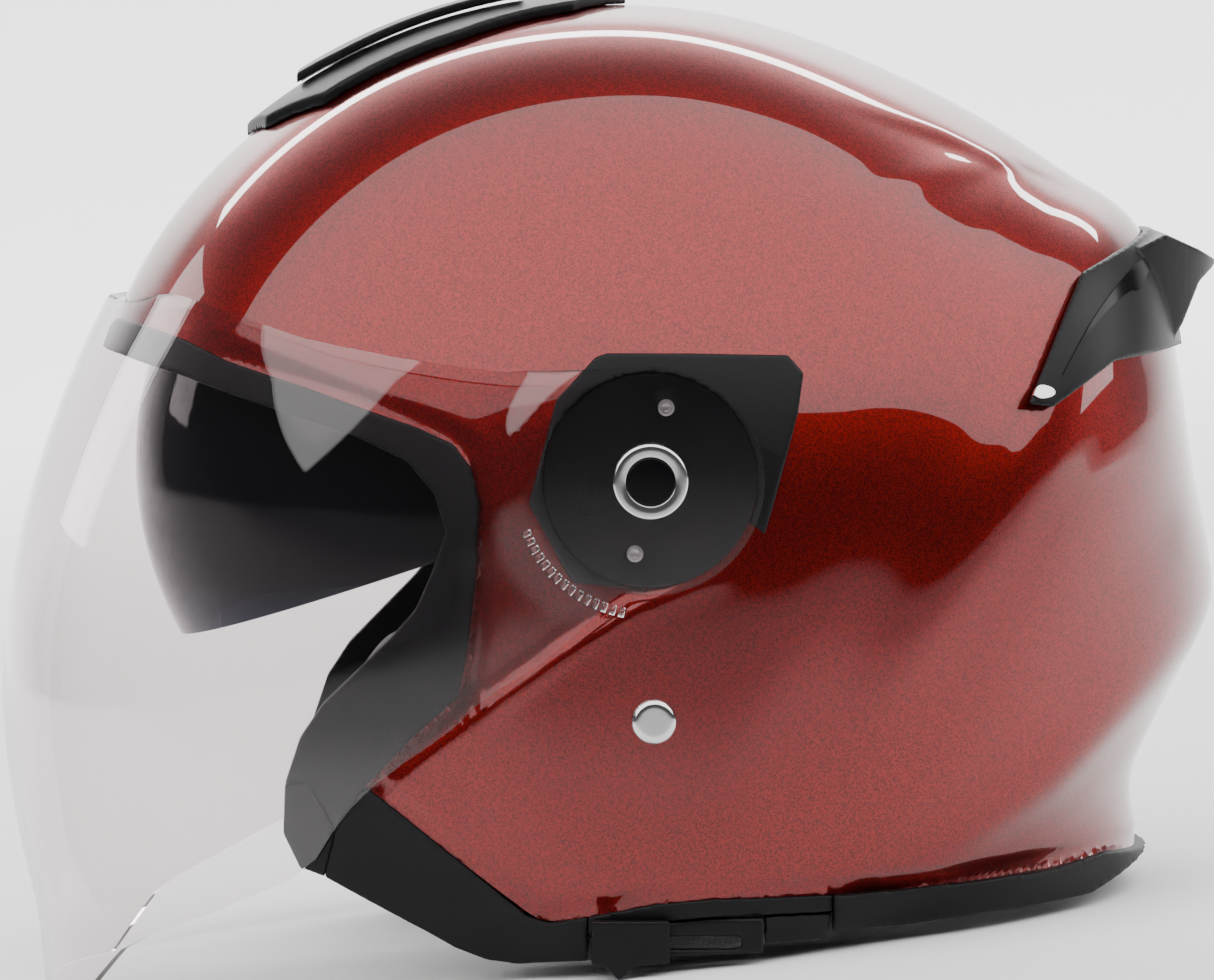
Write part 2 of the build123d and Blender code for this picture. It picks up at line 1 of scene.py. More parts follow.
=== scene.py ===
"""An open-face motorcycle helmet: candy red shell, clear shield, drop-down sun visor, black trims."""

import json
import math

import bmesh
import bpy
import numpy as np
from mathutils import Matrix, Vector

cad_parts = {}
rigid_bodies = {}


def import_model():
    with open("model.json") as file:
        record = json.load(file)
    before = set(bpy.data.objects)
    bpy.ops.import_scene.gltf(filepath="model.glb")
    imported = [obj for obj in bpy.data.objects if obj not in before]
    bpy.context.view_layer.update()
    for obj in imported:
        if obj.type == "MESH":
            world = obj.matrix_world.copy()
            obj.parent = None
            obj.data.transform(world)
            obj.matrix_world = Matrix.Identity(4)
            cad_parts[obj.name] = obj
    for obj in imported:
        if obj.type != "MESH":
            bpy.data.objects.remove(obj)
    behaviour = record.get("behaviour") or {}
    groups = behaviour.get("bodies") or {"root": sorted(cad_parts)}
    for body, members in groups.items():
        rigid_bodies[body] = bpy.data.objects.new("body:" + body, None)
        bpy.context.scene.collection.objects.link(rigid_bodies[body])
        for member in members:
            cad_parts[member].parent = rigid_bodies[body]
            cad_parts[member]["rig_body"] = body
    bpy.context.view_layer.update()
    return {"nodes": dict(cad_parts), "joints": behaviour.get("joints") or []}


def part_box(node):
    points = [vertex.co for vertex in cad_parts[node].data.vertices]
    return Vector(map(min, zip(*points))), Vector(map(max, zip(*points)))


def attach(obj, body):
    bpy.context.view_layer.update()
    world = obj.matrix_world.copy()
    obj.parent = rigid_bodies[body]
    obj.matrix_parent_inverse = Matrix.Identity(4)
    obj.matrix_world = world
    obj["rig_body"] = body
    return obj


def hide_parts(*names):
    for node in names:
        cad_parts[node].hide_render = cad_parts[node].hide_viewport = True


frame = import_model()

# ---------------------------------------------------------------- The stance
# The helmet is drawn as it is worn, from the shield's hinge, in millimetres. It stands tipped back
# on the shield's lip and the rear rim, so every worn point is turned and lifted the same way.
hinge = next(joint for joint in frame["joints"] if joint["name"] == "shield_hinge")
tip_back = math.radians(5.3)
stance = Matrix.Translation(Vector(hinge["pos_m"])) @ Matrix.Rotation(-tip_back, 4, "X")
stance = stance @ Matrix.Scale(0.001, 4)


def worn_object(name, points, faces, material=None, body="helmet"):
    """A smooth mesh from worn-frame points, riding on a body."""
    mesh = bpy.data.meshes.new(name)
    placed = np.asarray(points, float) @ np.array(stance.to_3x3()).T + np.array(stance.translation)
    mesh.from_pydata(placed.tolist(), [], faces)
    mesh.update()
    mesh.shade_smooth()
    piece = bpy.data.objects.new(name, mesh)
    bpy.context.collection.objects.link(piece)
    if material:
        mesh.materials.append(material)
    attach(piece, body)
    return piece


# ---------------------------------------------------------------- Camera, floor and light
# A long lens level with the hinge looks at the wearer's left side. The floor and the wall behind are one pale
# sweep, its colour darkened towards the camera as painted shade; a wide softbox hangs overhead, and a strip
# lights the back edge.
camera_distance = 2000
camera_rise = math.radians(3.7)
camera_aim = Vector((0, -11.07, -10.1))
camera_data = bpy.data.cameras.new("camera")
camera_data.lens = 219.6
camera_data.sensor_width = 36
camera_data.clip_end = 50
camera = bpy.data.objects.new("camera", camera_data)
bpy.context.collection.objects.link(camera)
bpy.context.scene.camera = camera
away = Vector((math.cos(camera_rise), 0, math.sin(camera_rise)))
side = Vector((0, 1, 0))
up = away.cross(side)
turned = Matrix((side, up, away)).transposed().to_4x4()
camera_place = stance @ (Matrix.Translation(camera_aim + away * camera_distance) @ turned)
camera.matrix_world = Matrix.LocRotScale(
    camera_place.translation, camera_place.to_quaternion(), Vector((1, 1, 1))
)


def softbox(name, place, target, size, power, tint=(1, 1, 1)):
    """A rectangular studio light aimed at a point."""
    data = bpy.data.lights.new(name, "AREA")
    data.shape = "RECTANGLE"
    data.size, data.size_y = size
    data.energy = power
    data.color = tint
    lamp = bpy.data.objects.new(name, data)
    lamp.location = place
    lamp.rotation_euler = (Vector(target) - Vector(place)).to_track_quat("-Z", "Y").to_euler()
    bpy.context.collection.objects.link(lamp)
    return lamp


softbox("overhead", (0.62, 0.15, 1.22), (0, 0.05, 0.1), (5.6, 1.9), 95)
softbox("back_strip", (-0.4, 2.4, 0.9), (0, 0.1, 0.1), (0.8, 1.4), 16)
softbox("front_strip", (-1.2, -2.4, 1.2), (0, 0, 0.1), (0.8, 1.2), 14)

sweep_material = bpy.data.materials.new("pale_sweep")
sweep_material.use_nodes = True
sweep_shader = sweep_material.node_tree.nodes["Principled BSDF"]
sweep_shader.inputs["Roughness"].default_value = 0.9
sweep_shader.inputs["Specular IOR Level"].default_value = 0.1
sweep_place = sweep_material.node_tree.nodes.new("ShaderNodeTexCoord")
sweep_split = sweep_material.node_tree.nodes.new("ShaderNodeSeparateXYZ")
# Painted shade: the sweep's colour runs from pale behind the helmet to grey towards the camera, standing in
# for light falling off across the floor.
sweep_painted_shade = sweep_material.node_tree.nodes.new("ShaderNodeValToRGB")
sweep_links = sweep_material.node_tree.links
sweep_links.new(sweep_place.outputs["Object"], sweep_split.inputs["Vector"])
sweep_links.new(sweep_split.outputs["X"], sweep_painted_shade.inputs["Fac"])
sweep_links.new(sweep_painted_shade.outputs["Color"], sweep_shader.inputs["Base Color"])
sweep_painted_shade.color_ramp.interpolation = "EASE"
sweep_painted_shade.color_ramp.elements[0].position = 0.08
sweep_painted_shade.color_ramp.elements[0].color = (0.9, 0.9, 0.9, 1)
sweep_painted_shade.color_ramp.elements[1].position = 0.6
sweep_painted_shade.color_ramp.elements[1].color = (0.38, 0.38, 0.385, 1)
sweep_profile = [(3.4, 0), (-3.2, 0)]
sweep_profile += [
    (-3.2 - 0.6 * math.sin(math.pi * k / 24), 0.6 - 0.6 * math.cos(math.pi * k / 24)) for k in range(1, 13)
]
sweep_profile.append((-3.8, 4.5))
sweep_points = [(x, y, z) for x, z in sweep_profile for y in (-5, 5)]
sweep_faces = [(2 * k, 2 * k + 1, 2 * k + 3, 2 * k + 2) for k in range(len(sweep_profile) - 1)]
sweep_mesh = bpy.data.meshes.new("sweep")
sweep_mesh.from_pydata(sweep_points, [], sweep_faces)
sweep_mesh.shade_smooth()
sweep_mesh.materials.append(sweep_material)
sweep_piece = bpy.data.objects.new("sweep", sweep_mesh)
bpy.context.collection.objects.link(sweep_piece)
softbox("wall_wash", (-2.7, 0, 2.9), (-3.6, 0, 0.3), (6.0, 0.7), 330)

world = bpy.data.worlds.new("studio")
bpy.context.scene.world = world
world.use_nodes = True
world.node_tree.nodes["Background"].inputs["Color"].default_value = (0.55, 0.57, 0.6, 1)
world.node_tree.nodes["Background"].inputs["Strength"].default_value = 0.12


# ---------------------------------------------------------------- Shell
# A polycarbonate moulding under candy red lacquer. Arches fan out from an axis below the rim: each
# has a reach at the middle, a half width, and a waist where it is widest.
fan_height = -160
arch_table = np.array((
    (25, 163, 95, 60), (40, 195, 99, 72), (55, 246, 106, 90), (72, 274.5, 115, 115),
    (90, 280.5, 119, 130), (106, 269, 119, 122), (115, 261.5, 115, 105), (121, 257, 112, 95),
    (125.5, 241.5, 109, 86), (132, 218, 105, 75), (141, 194, 96, 68), (150, 153, 91, 55),
    (158, 143, 90, 45),
))
fullness = 2.1
flank = 260


def flow(angle, column):
    """A smooth line through one column of the arch table, at angles in degrees."""
    at, value = arch_table[:, 0], arch_table[:, column]
    slope = np.gradient(value, at)
    angle = np.clip(angle, at[0], at[-1])
    k = np.clip(np.searchsorted(at, angle) - 1, 0, len(at) - 2)
    span = at[k + 1] - at[k]
    f = (angle - at[k]) / span
    return (
        (2 * f**3 - 3 * f**2 + 1) * value[k] + (f**3 - 2 * f**2 + f) * span * slope[k]
        + (3 * f**2 - 2 * f**3) * value[k + 1] + (f**3 - f**2) * span * slope[k + 1]
    )


def skin(angle, turn, growth=0.0):
    """Points on the helmet's skin. turn runs from -1, left foot, through 0, left waist, to 1 at the
    middle; angle is the arch's angle up from straight ahead."""
    angle, turn = np.broadcast_arrays(np.asarray(angle, float), np.asarray(turn, float))
    reach, half, waist = (flow(angle, k) for k in (1, 2, 3))
    reach, half = reach + growth, half + growth
    lift = np.clip(turn, 0, 1) * math.pi / 2
    across = half * np.cos(lift) ** (2 / fullness)
    out = waist + (reach - waist) * np.sin(lift) ** (2 / fullness)
    drop = np.clip(-turn, 0, 1) * (waist - 22)
    across = np.where(turn < 0, half * np.sqrt(1 - (drop / flank) ** 2), across)
    out = np.where(turn < 0, waist - drop, out)
    theta = np.radians(angle)
    return np.stack((across, -out * np.cos(theta), fan_height + out * np.sin(theta)), axis=-1)


def skin_place(rearward, upward):
    """The arch angle and turn of the skin point at a place in the side view."""
    rearward, upward = np.asarray(rearward, float), np.asarray(upward, float)
    angle = np.degrees(np.arctan2(upward - fan_height, -rearward))
    out = np.hypot(rearward, upward - fan_height)
    reach, waist = flow(angle, 1), flow(angle, 3)
    share = np.clip((out - waist) / (reach - waist), 0, 1)
    above = np.arcsin(np.clip(share ** (fullness / 2), 0, 1)) * 2 / math.pi
    return angle, np.where(out < waist, (out - waist) / (waist - 22), above)


def skin_normal(angle, turn):
    """Outward directions of the skin."""
    step = 0.004
    low_turn, high_turn = np.clip(turn - step, -1, 1), np.clip(turn + step, -1, 1)
    along = skin(angle + 0.15, turn) - skin(angle - 0.15, turn)
    over = skin(angle, high_turn) - skin(angle, low_turn)
    normal = np.cross(along, over)
    length = np.linalg.norm(normal, axis=-1, keepdims=True)
    normal = normal / np.maximum(length, 1e-9)
    outward = skin(angle, turn) * (1, 1, 1) - np.array((0, 0, -30))
    flip = np.sign(np.sum(normal * outward, axis=-1, keepdims=True))
    return normal * np.where(flip == 0, 1, flip)


def smooth_step(low, high, value):
    """0 below low, 1 above high, and a smooth rise between."""
    f = np.clip((value - low) / (high - low), 0, 1)
    return f * f * (3 - 2 * f)


def line_distance(y, z, route):
    """Signed distance to a side-view route, positive above it, and the share along the route."""
    best = np.full(np.shape(y), 1e9)
    signed = np.zeros(np.shape(y))
    share = np.zeros(np.shape(y))
    steps = np.array(route, float)
    lengths = np.hypot(*(steps[1:] - steps[:-1]).T)
    done = np.concatenate(((0,), np.cumsum(lengths)))
    for k, length in enumerate(lengths):
        start, run = steps[k], (steps[k + 1] - steps[k]) / length
        f = np.clip((y - start[0]) * run[0] + (z - start[1]) * run[1], 0, length)
        near = np.hypot(y - start[0] - f * run[0], z - start[1] - f * run[1])
        sign = np.sign(run[0] * (z - start[1]) - run[1] * (y - start[0]))
        closer = near < best
        best = np.where(closer, near, best)
        signed = np.where(closer, near * sign, signed)
        share = np.where(closer, (done[k] + f) / done[-1], share)
    return signed, share


shield_step = ((-84, -90), (-68, -77), (-50, -64), (-24, -44.5), (-6, -32.5), (10, -25.5), (24, -21))
belly_ridge = ((40, -108), (59, -104), (80, -93), (104, -80), (123, -63), (138, -50), (160, -30))
crown_fold = ((38, 98.5), (52, 96), (77, 88.5), (96, 80))
flank_fold = ((28, 62), (48, 69), (65, 75.9), (84, 79.5), (97, 79.8))
spoiler_crease = ((98, 19), (95, 11), (92, 3))


def surface_features(y, z):
    """How far the lacquered surface stands off its plain form: the step that the closed shield's edge
    sits in, the folds behind the crown, and the ridge that runs round the nape."""
    lift = np.zeros(np.shape(y))
    gap, share = line_distance(y, z, shield_step)
    sunk = smooth_step(0.2, 2.2, gap) * (1 - smooth_step(26, 70, gap)) * (1 - smooth_step(-8, 26, y))
    lift -= 2.1 * sunk * (1 - smooth_step(-2, 30, z))
    lift += 0.45 * np.exp(-(((gap + 1.6) / 1.6) ** 2)) * smooth_step(0.02, 0.12, share) * (
        1 - smooth_step(0.9, 1, share)
    )
    gap, share = line_distance(y, z, belly_ridge)
    lift += 1.1 * np.exp(-((gap / 7) ** 2)) * smooth_step(0, 0.35, share)
    lift -= 1.5 * smooth_step(0, 12, -gap) * (1 - smooth_step(18, 42, -gap)) * smooth_step(0.05, 0.4, share)
    gap, share = line_distance(y, z, crown_fold)
    hollow = smooth_step(0, 4, -gap) * (1 - smooth_step(6, 30, -gap))
    lift -= 1.3 * hollow * smooth_step(0.02, 0.85, share) * (1 - smooth_step(0.97, 1, share) * 0.6)
    gap, share = line_distance(y, z, flank_fold)
    lift += 0.6 * np.exp(-((gap / 3.0) ** 2)) * smooth_step(0.05, 0.8, share) * (
        1 - smooth_step(0.9, 1, share)
    )
    gap, share = line_distance(y, z, spoiler_crease)
    lift -= 0.8 * np.exp(-((gap / 1.4) ** 2)) * (1 - smooth_step(0.3, 1, share)) * smooth_step(0, 0.05, share)
    return lift


def inside_outline(y, z, outline):
    """True where a side-view point lies inside a closed outline."""
    inside = np.zeros(np.shape(y), bool)
    for (y0, z0), (y1, z1) in zip(outline, outline[1:] + outline[:1]):
        crosses = (z0 > z) != (z1 > z)
        where = y0 + (z - z0) * (y1 - y0) / (z1 - z0 if z1 != z0 else 1e-9)
        inside ^= crosses & (y < where)
    return inside


def nearest_on(y, z, outline):
    """The closest point of a closed side-view outline."""
    best, found = 1e9, (y, z)
    for (y0, z0), (y1, z1) in zip(outline, outline[1:] + outline[:1]):
        run_y, run_z = y1 - y0, z1 - z0
        f = max(0, min(1, ((y - y0) * run_y + (z - z0) * run_z) / max(run_y**2 + run_z**2, 1e-9)))
        here = (y0 + f * run_y, z0 + f * run_z)
        near = math.hypot(y - here[0], z - here[1])
        if near < best:
            best, found = near, here
    return found


def rounded(outline, rounds=2):
    """A polyline with its corners cut twice over, its ends kept."""
    for _ in range(rounds):
        cut = [outline[0]]
        for (y0, z0), (y1, z1) in zip(outline, outline[1:]):
            cut.append((0.75 * y0 + 0.25 * y1, 0.75 * z0 + 0.25 * z1))
            cut.append((0.25 * y0 + 0.75 * y1, 0.25 * z0 + 0.75 * z1))
        outline = cut + [outline[-1]]
    return outline


def trimmed_sheet(cells, keep):
    """The grid corners in use, and the faces with any corner inside, renumbered to them."""
    faces = [face for face in cells if keep[list(face)].any()]
    used = sorted({corner for face in faces for corner in face})
    renumber = {old: new for new, old in enumerate(used)}
    faces = [tuple(renumber[corner] for corner in face) for face in faces]
    return used, faces


port_edge = rounded([
    (-141, 37), (-132, 36), (-121, 33), (-109, 28), (-88, 22), (-73, 17), (-59, 12.5), (-50, 8.5),
    (-45.5, 2.5), (-43.5, -6), (-44.5, -27), (-46.5, -44), (-49, -56), (-60, -66), (-73, -80),
])
rim_edge = rounded([
    (-73, -80), (-31.5, -112.5), (-26, -114.5), (-16, -112.5), (1, -109), (16, -107.5), (47, -107.5),
    (66, -107), (86, -106), (104, -105), (121, -103), (131, -104.5), (145, -107),
])
shell_cut = port_edge + rim_edge + [(220, -107), (220, -260), (-260, -260), (-260, 37)]

arch_count, turn_count = 250, 190
arch_angles = np.linspace(26, 158, arch_count)
turns = np.concatenate((np.linspace(-1, 0, 60)[:-1], np.linspace(0, 1, turn_count - 59)))
grid_angle, grid_turn = np.meshgrid(arch_angles, turns, indexing="ij")
shell_points = skin(grid_angle, grid_turn)
shell_normals = skin_normal(grid_angle, grid_turn)
shell_lift = surface_features(shell_points[..., 1], shell_points[..., 2])
for _ in range(3):
    across = np.pad(shell_lift, 1, mode="edge")
    shell_lift = (
        across[:-2, 1:-1] + across[2:, 1:-1] + across[1:-1, :-2] + across[1:-1, 2:] + 4 * shell_lift
    ) / 8
for edge_route in (port_edge, rim_edge):
    edge_gap, _ = line_distance(shell_points[..., 1], shell_points[..., 2], edge_route)
    shell_lift = shell_lift - 0.9 * (1 - smooth_step(2, 6, np.abs(edge_gap)))
shell_points = shell_points + shell_normals * shell_lift[..., None]
columns = shell_points.shape[1]
flat_points = shell_points.reshape(-1, 3)
cells = [
    (i * columns + j, (i + 1) * columns + j, (i + 1) * columns + j + 1, i * columns + j + 1)
    for i in range(arch_count - 1)
    for j in range(columns - 1)
]
inside_shell = ~inside_outline(flat_points[:, 1], flat_points[:, 2], shell_cut)
used, shell_faces = trimmed_sheet(cells, inside_shell)
half_points = flat_points[used].copy()
for k, old in enumerate(used):
    if not inside_shell[old]:
        y, z = nearest_on(half_points[k, 1], half_points[k, 2], shell_cut)
        angle, turn = skin_place(y, z)
        half_points[k] = skin(angle, turn, -0.9)


def mirrored(points, faces):
    """Adds the right half to a left half."""
    other = np.asarray(points) * (-1, 1, 1)
    count = len(points)
    both = np.concatenate((points, other))
    return both, list(faces) + [tuple(corner + count for corner in reversed(face)) for face in faces]


def weld(mesh, distance):
    """Joins vertices that lie together."""
    work = bmesh.new()
    work.from_mesh(mesh)
    bmesh.ops.remove_doubles(work, verts=work.verts, dist=distance)
    work.to_mesh(mesh)
    work.free()


def settle(piece):
    """Turns a piece's modifiers into its mesh."""
    bpy.context.view_layer.update()
    shaped = bpy.data.meshes.new_from_object(piece.evaluated_get(bpy.context.evaluated_depsgraph_get()))
    piece.modifiers.clear()
    piece.data = shaped
    return piece


def sheet_piece(name, points, faces, wall, material, body="helmet", double=True):
    """A walled sheet: outer surface in the worn frame, thickened inward."""
    points = np.asarray(points, float)
    corners = np.array([face[:3] for face in faces])
    first, second, third = (points[corners[:, k]] for k in range(3))
    facing = np.cross(second - first, third - first)
    middle = points[corners].mean(axis=1) - (0, 0, -30)
    if np.sum(facing * middle) < 0:
        faces = [tuple(reversed(face)) for face in faces]
    if double:
        points, faces = mirrored(points, faces)
    piece = worn_object(name, points, faces, material, body)
    weld(piece.data, 0.0001)
    thick = piece.modifiers.new("wall", "SOLIDIFY")
    thick.thickness = wall * 0.001
    thick.offset = -1
    settle(piece)
    piece.data.shade_smooth()
    piece.data.set_sharp_from_angle(angle=math.radians(50))
    return piece


def new_group(name, inputs, outputs):
    """An empty shader node group with float inputs and named outputs, and its two ends."""
    group = bpy.data.node_groups.new(name, "ShaderNodeTree")
    for label, value in inputs:
        socket = group.interface.new_socket(label, in_out="INPUT", socket_type="NodeSocketFloat")
        socket.default_value = value
    for label, kind in outputs:
        group.interface.new_socket(label, in_out="OUTPUT", socket_type=kind)
    start = group.nodes.new("NodeGroupInput")
    end = group.nodes.new("NodeGroupOutput")
    return group, start, end


def tie(tree, out_socket, in_socket):
    """One link."""
    tree.links.new(out_socket, in_socket)


def add_node(tree, kind, **values):
    """A node with its input sockets or properties set by name."""
    node = tree.nodes.new(kind)
    for label, value in values.items():
        words = label.replace("_", " ")
        if hasattr(node, label):
            setattr(node, label, value)
        else:
            node.inputs[words].default_value = value
    return node


def plain_finish(name, **values):
    """A material whose shader has these values set; returns it with its tree and shader."""
    material = bpy.data.materials.new(name)
    material.use_nodes = True
    tree = material.node_tree
    shader = tree.nodes["Principled BSDF"]
    for label, value in values.items():
        shader.inputs[label.replace("_", " ")].default_value = value
    return material, tree, shader


def colour_spread(tree, mask, low, high, target):
    """Colours a socket between two tones by a mask."""
    ramp = tree.nodes.new("ShaderNodeMix")
    ramp.data_type = "RGBA"
    ramp.inputs["A"].default_value = (*low, 1)
    ramp.inputs["B"].default_value = (*high, 1)
    tie(tree, mask, ramp.inputs["Factor"])
    tie(tree, ramp.outputs["Result"], target)


def value_spread(tree, mask, low, high, target):
    """Drives a number between two values by a mask."""
    span = add_node(tree, "ShaderNodeMapRange", To_Min=low, To_Max=high)
    tie(tree, mask, span.inputs["Value"])
    tie(tree, span.outputs["Result"], target)


def raise_bump(tree, height, shader, strength, distance):
    """Feeds a height through a bump node into a shader's normal."""
    bump = add_node(tree, "ShaderNodeBump", Strength=strength, Distance=distance)
    tie(tree, height, bump.inputs["Height"])
    tie(tree, bump.outputs["Normal"], shader.inputs["Normal"])
    return bump


flake_group, flake_in, flake_out = new_group(
    "metal_flake",
    (("Scale", 2600), ("Cloud Scale", 9)),
    (("Height", "NodeSocketFloat"), ("Flake", "NodeSocketFloat"), ("Cloud", "NodeSocketFloat")),
)
flake_place = add_node(flake_group, "ShaderNodeTexCoord")
flake_cells = add_node(flake_group, "ShaderNodeTexVoronoi")
flake_split = add_node(flake_group, "ShaderNodeSeparateColor")
flake_cloud = add_node(flake_group, "ShaderNodeTexNoise")
tie(flake_group, flake_place.outputs["Object"], flake_cells.inputs["Vector"])
tie(flake_group, flake_place.outputs["Object"], flake_cloud.inputs["Vector"])
tie(flake_group, flake_in.outputs["Scale"], flake_cells.inputs["Scale"])
tie(flake_group, flake_in.outputs["Cloud Scale"], flake_cloud.inputs["Scale"])
tie(flake_group, flake_cells.outputs["Color"], flake_split.inputs["Color"])
tie(flake_group, flake_split.outputs["Red"], flake_out.inputs["Flake"])
tie(flake_group, flake_split.outputs["Green"], flake_out.inputs["Height"])
tie(flake_group, flake_cloud.outputs["Fac"], flake_out.inputs["Cloud"])

candy_red, candy_tree, candy_shader = plain_finish(
    "candy_red", Metallic=0.92, Roughness=0.27, Coat_Weight=1.0, Coat_Roughness=0.02, Coat_IOR=1.5
)
candy_flake = candy_tree.nodes.new("ShaderNodeGroup")
candy_flake.node_tree = flake_group
colour_spread(
    candy_tree, candy_flake.outputs["Flake"], (0.085, 0.0012, 0.001), (0.24, 0.004, 0.003),
    candy_shader.inputs["Base Color"],
)
value_spread(candy_tree, candy_flake.outputs["Cloud"], 0.27, 0.36, candy_shader.inputs["Roughness"])
raise_bump(candy_tree, candy_flake.outputs["Height"], candy_shader, 0.16, 0.00006)

shell_wall = 3.5
shell = sheet_piece("shell_form", half_points, shell_faces, shell_wall, candy_red)
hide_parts("outer_shell")

# ---------------------------------------------------------------- Rubber and trim round the openings
# The eye port's gasket, the chin-corner caps, the jaw trims and the rim strips are rubber and moulded
# plastic pressed over the shell's cut edge. Their corners are rounded as a mould leaves them.


def copied(node, name, material):
    """A piece with a CAD node's shape, standing for it and riding with it."""
    source = frame["nodes"][node]
    mesh = source.data.copy()
    mesh.materials.clear()
    mesh.materials.append(material)
    weld(mesh, 0.00001)
    piece = bpy.data.objects.new(name, mesh)
    bpy.context.collection.objects.link(piece)
    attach(piece, source["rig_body"])
    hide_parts(node)
    return piece


def soften(node, material, voxel, rounds=3):
    """A CAD node's shape with every edge rounded over."""
    piece = copied(node, node + "_form", material)
    fine = piece.modifiers.new("fine", "REMESH")
    fine.mode = "VOXEL"
    fine.voxel_size = voxel * 0.001
    ease = piece.modifiers.new("ease", "SMOOTH")
    ease.factor = 0.5
    ease.iterations = rounds
    settle(piece)
    piece.data.shade_smooth()
    return piece


def crisp(node, material, bevel=0.25):
    """A CAD node's shape with a small bevel on its sharp edges."""
    piece = copied(node, node + "_form", material)
    if bevel:
        edge = piece.modifiers.new("edge", "BEVEL")
        edge.width = bevel * 0.001
        edge.segments = 2
        edge.limit_method = "ANGLE"
        edge.angle_limit = math.radians(40)
        settle(piece)
    piece.data.shade_smooth()
    piece.data.set_sharp_from_angle(angle=math.radians(38))
    return piece


grain_group, grain_in, grain_out = new_group(
    "moulded_grain",
    (("Scale", 900), ("Patch Scale", 30)),
    (("Height", "NodeSocketFloat"), ("Patches", "NodeSocketFloat")),
)
grain_place = add_node(grain_group, "ShaderNodeTexCoord")
grain_cells = add_node(grain_group, "ShaderNodeTexVoronoi", feature="SMOOTH_F1")
grain_noise = add_node(grain_group, "ShaderNodeTexNoise")
tie(grain_group, grain_place.outputs["Object"], grain_cells.inputs["Vector"])
tie(grain_group, grain_place.outputs["Object"], grain_noise.inputs["Vector"])
tie(grain_group, grain_in.outputs["Scale"], grain_cells.inputs["Scale"])
tie(grain_group, grain_in.outputs["Patch Scale"], grain_noise.inputs["Scale"])
tie(grain_group, grain_cells.outputs["Distance"], grain_out.inputs["Height"])
tie(grain_group, grain_noise.outputs["Fac"], grain_out.inputs["Patches"])


def moulded(name, low, high, rough, grain_scale, grain_depth, **values):
    """A moulded plastic or rubber: two close tones, uneven gloss and a fine grain."""
    material, tree, shader = plain_finish(name, Specular_IOR_Level=0.16, **values)
    grain = tree.nodes.new("ShaderNodeGroup")
    grain.node_tree = grain_group
    grain.inputs["Scale"].default_value = grain_scale
    grain.inputs["Patch Scale"].default_value = 45
    colour_spread(tree, grain.outputs["Patches"], low, high, shader.inputs["Base Color"])
    value_spread(tree, grain.outputs["Patches"], rough[0], rough[1], shader.inputs["Roughness"])
    raise_bump(tree, grain.outputs["Height"], shader, 0.35, grain_depth)
    return material


satin_black = moulded(
    "satin_black", (0.004, 0.004, 0.0045), (0.008, 0.008, 0.009), (0.3, 0.42), 1500, 0.00004
)
grained_black = moulded(
    "grained_black", (0.004, 0.004, 0.0045), (0.009, 0.009, 0.01), (0.5, 0.62), 700, 0.00025
)
soft_rubber = moulded(
    "soft_rubber", (0.003, 0.003, 0.0035), (0.007, 0.007, 0.008), (0.42, 0.55), 1300, 0.00006
)
gloss_black = moulded(
    "gloss_black", (0.002, 0.002, 0.0025), (0.005, 0.005, 0.0055), (0.12, 0.2), 1800, 0.00001
)

soften("eye_port_gasket", soft_rubber, 0.7, 2)
soften("rear_rim_roll", soft_rubber, 0.8, 7)
for side_name in ("left", "right"):
    soften("chin_corner_cap_" + side_name, soft_rubber, 0.6, 2)
    soften("jaw_trim_" + side_name, grained_black, 0.6, 2)
    soften("rim_strip_" + side_name, soft_rubber, 0.6, 2)

# ---------------------------------------------------------------- Face shield
# One thermoformed sheet of clear polycarbonate. Its round ends turn on the hubs; a bead runs inside
# its lower edge and a lip along its foot is for the thumb.
shield_table = np.array((
    (-148, 163, 111), (-125, 165, 114.5), (-100, 170.5, 119), (-65, 174.4, 122.3), (-26, 170.6, 122.9),
    (0, 163.5, 122.9), (25, 154, 121), (52, 141, 117.5),
))
shield_wall = 2.2
shield_shift = -8
shield_end = 29
shield_face = 122.95


def shield_flow(level, column):
    """A smooth line through one column of the shield's table, at heights in millimetres."""
    at, value = shield_table[:, 0], shield_table[:, column]
    slope = np.gradient(value, at)
    level = np.clip(level, at[0], at[-1])
    k = np.clip(np.searchsorted(at, level) - 1, 0, len(at) - 2)
    span = at[k + 1] - at[k]
    f = (level - at[k]) / span
    return (
        (2 * f**3 - 3 * f**2 + 1) * value[k] + (f**3 - 2 * f**2 + f) * span * slope[k]
        + (3 * f**2 - 2 * f**3) * value[k + 1] + (f**3 - f**2) * span * slope[k + 1]
    )


def shield_skin(rearward, level):
    """Left side point of the shield's outer face at a place in the side view."""
    reach, half = shield_flow(level, 1), shield_flow(level, 2)
    forward = np.clip((shield_shift - np.asarray(rearward, float)) / (reach + shield_shift), 0, 1)
    across = half * np.sqrt(np.clip(1 - forward**2, 0, 1))
    flat = 1 - smooth_step(30, 42, np.hypot(rearward, level))
    across = across + (shield_face - across) * flat
    return np.stack((across, np.maximum(rearward, -reach), np.asarray(level, float)), axis=-1)


shield_edge = rounded([
    (-38, 27.5), (-59, 30), (-88, 35), (-98, 38), (-113, 42.5), (-124, 45.5), (-130, 44.5), (-136, 42.5),
    (-145, 42.5),
], 1)
shield_edge += [(-215, 44), (-215, -141.2)]
shield_edge += rounded([
    (-150, -141.2), (-143, -132), (-137, -125), (-113, -114), (-88, -102), (-79, -87), (-68, -76),
    (-50, -63.5), (-44, -56.5), (-24, -44), (-12, -32), (-7, -28.2),
], 1)
shield_edge += [
    (shield_end * math.cos(math.radians(a)), shield_end * math.sin(math.radians(a)))
    for a in range(-100, 96, 5)
]
levels = np.linspace(-141.2, 45.5, 150)
fronts = np.sin(np.linspace(0, math.pi / 2, 110))
shield_points = []
for level in levels:
    reach = float(shield_flow(level, 1))
    straight = np.linspace(30, shield_shift, 30)[:-1]
    curved = shield_shift - (reach + shield_shift) * fronts
    rearward = np.concatenate((straight, curved))
    shield_points.append(shield_skin(rearward, np.full(len(rearward), level)))
shield_points = np.array(shield_points)
columns = shield_points.shape[1]
flat_points = shield_points.reshape(-1, 3)
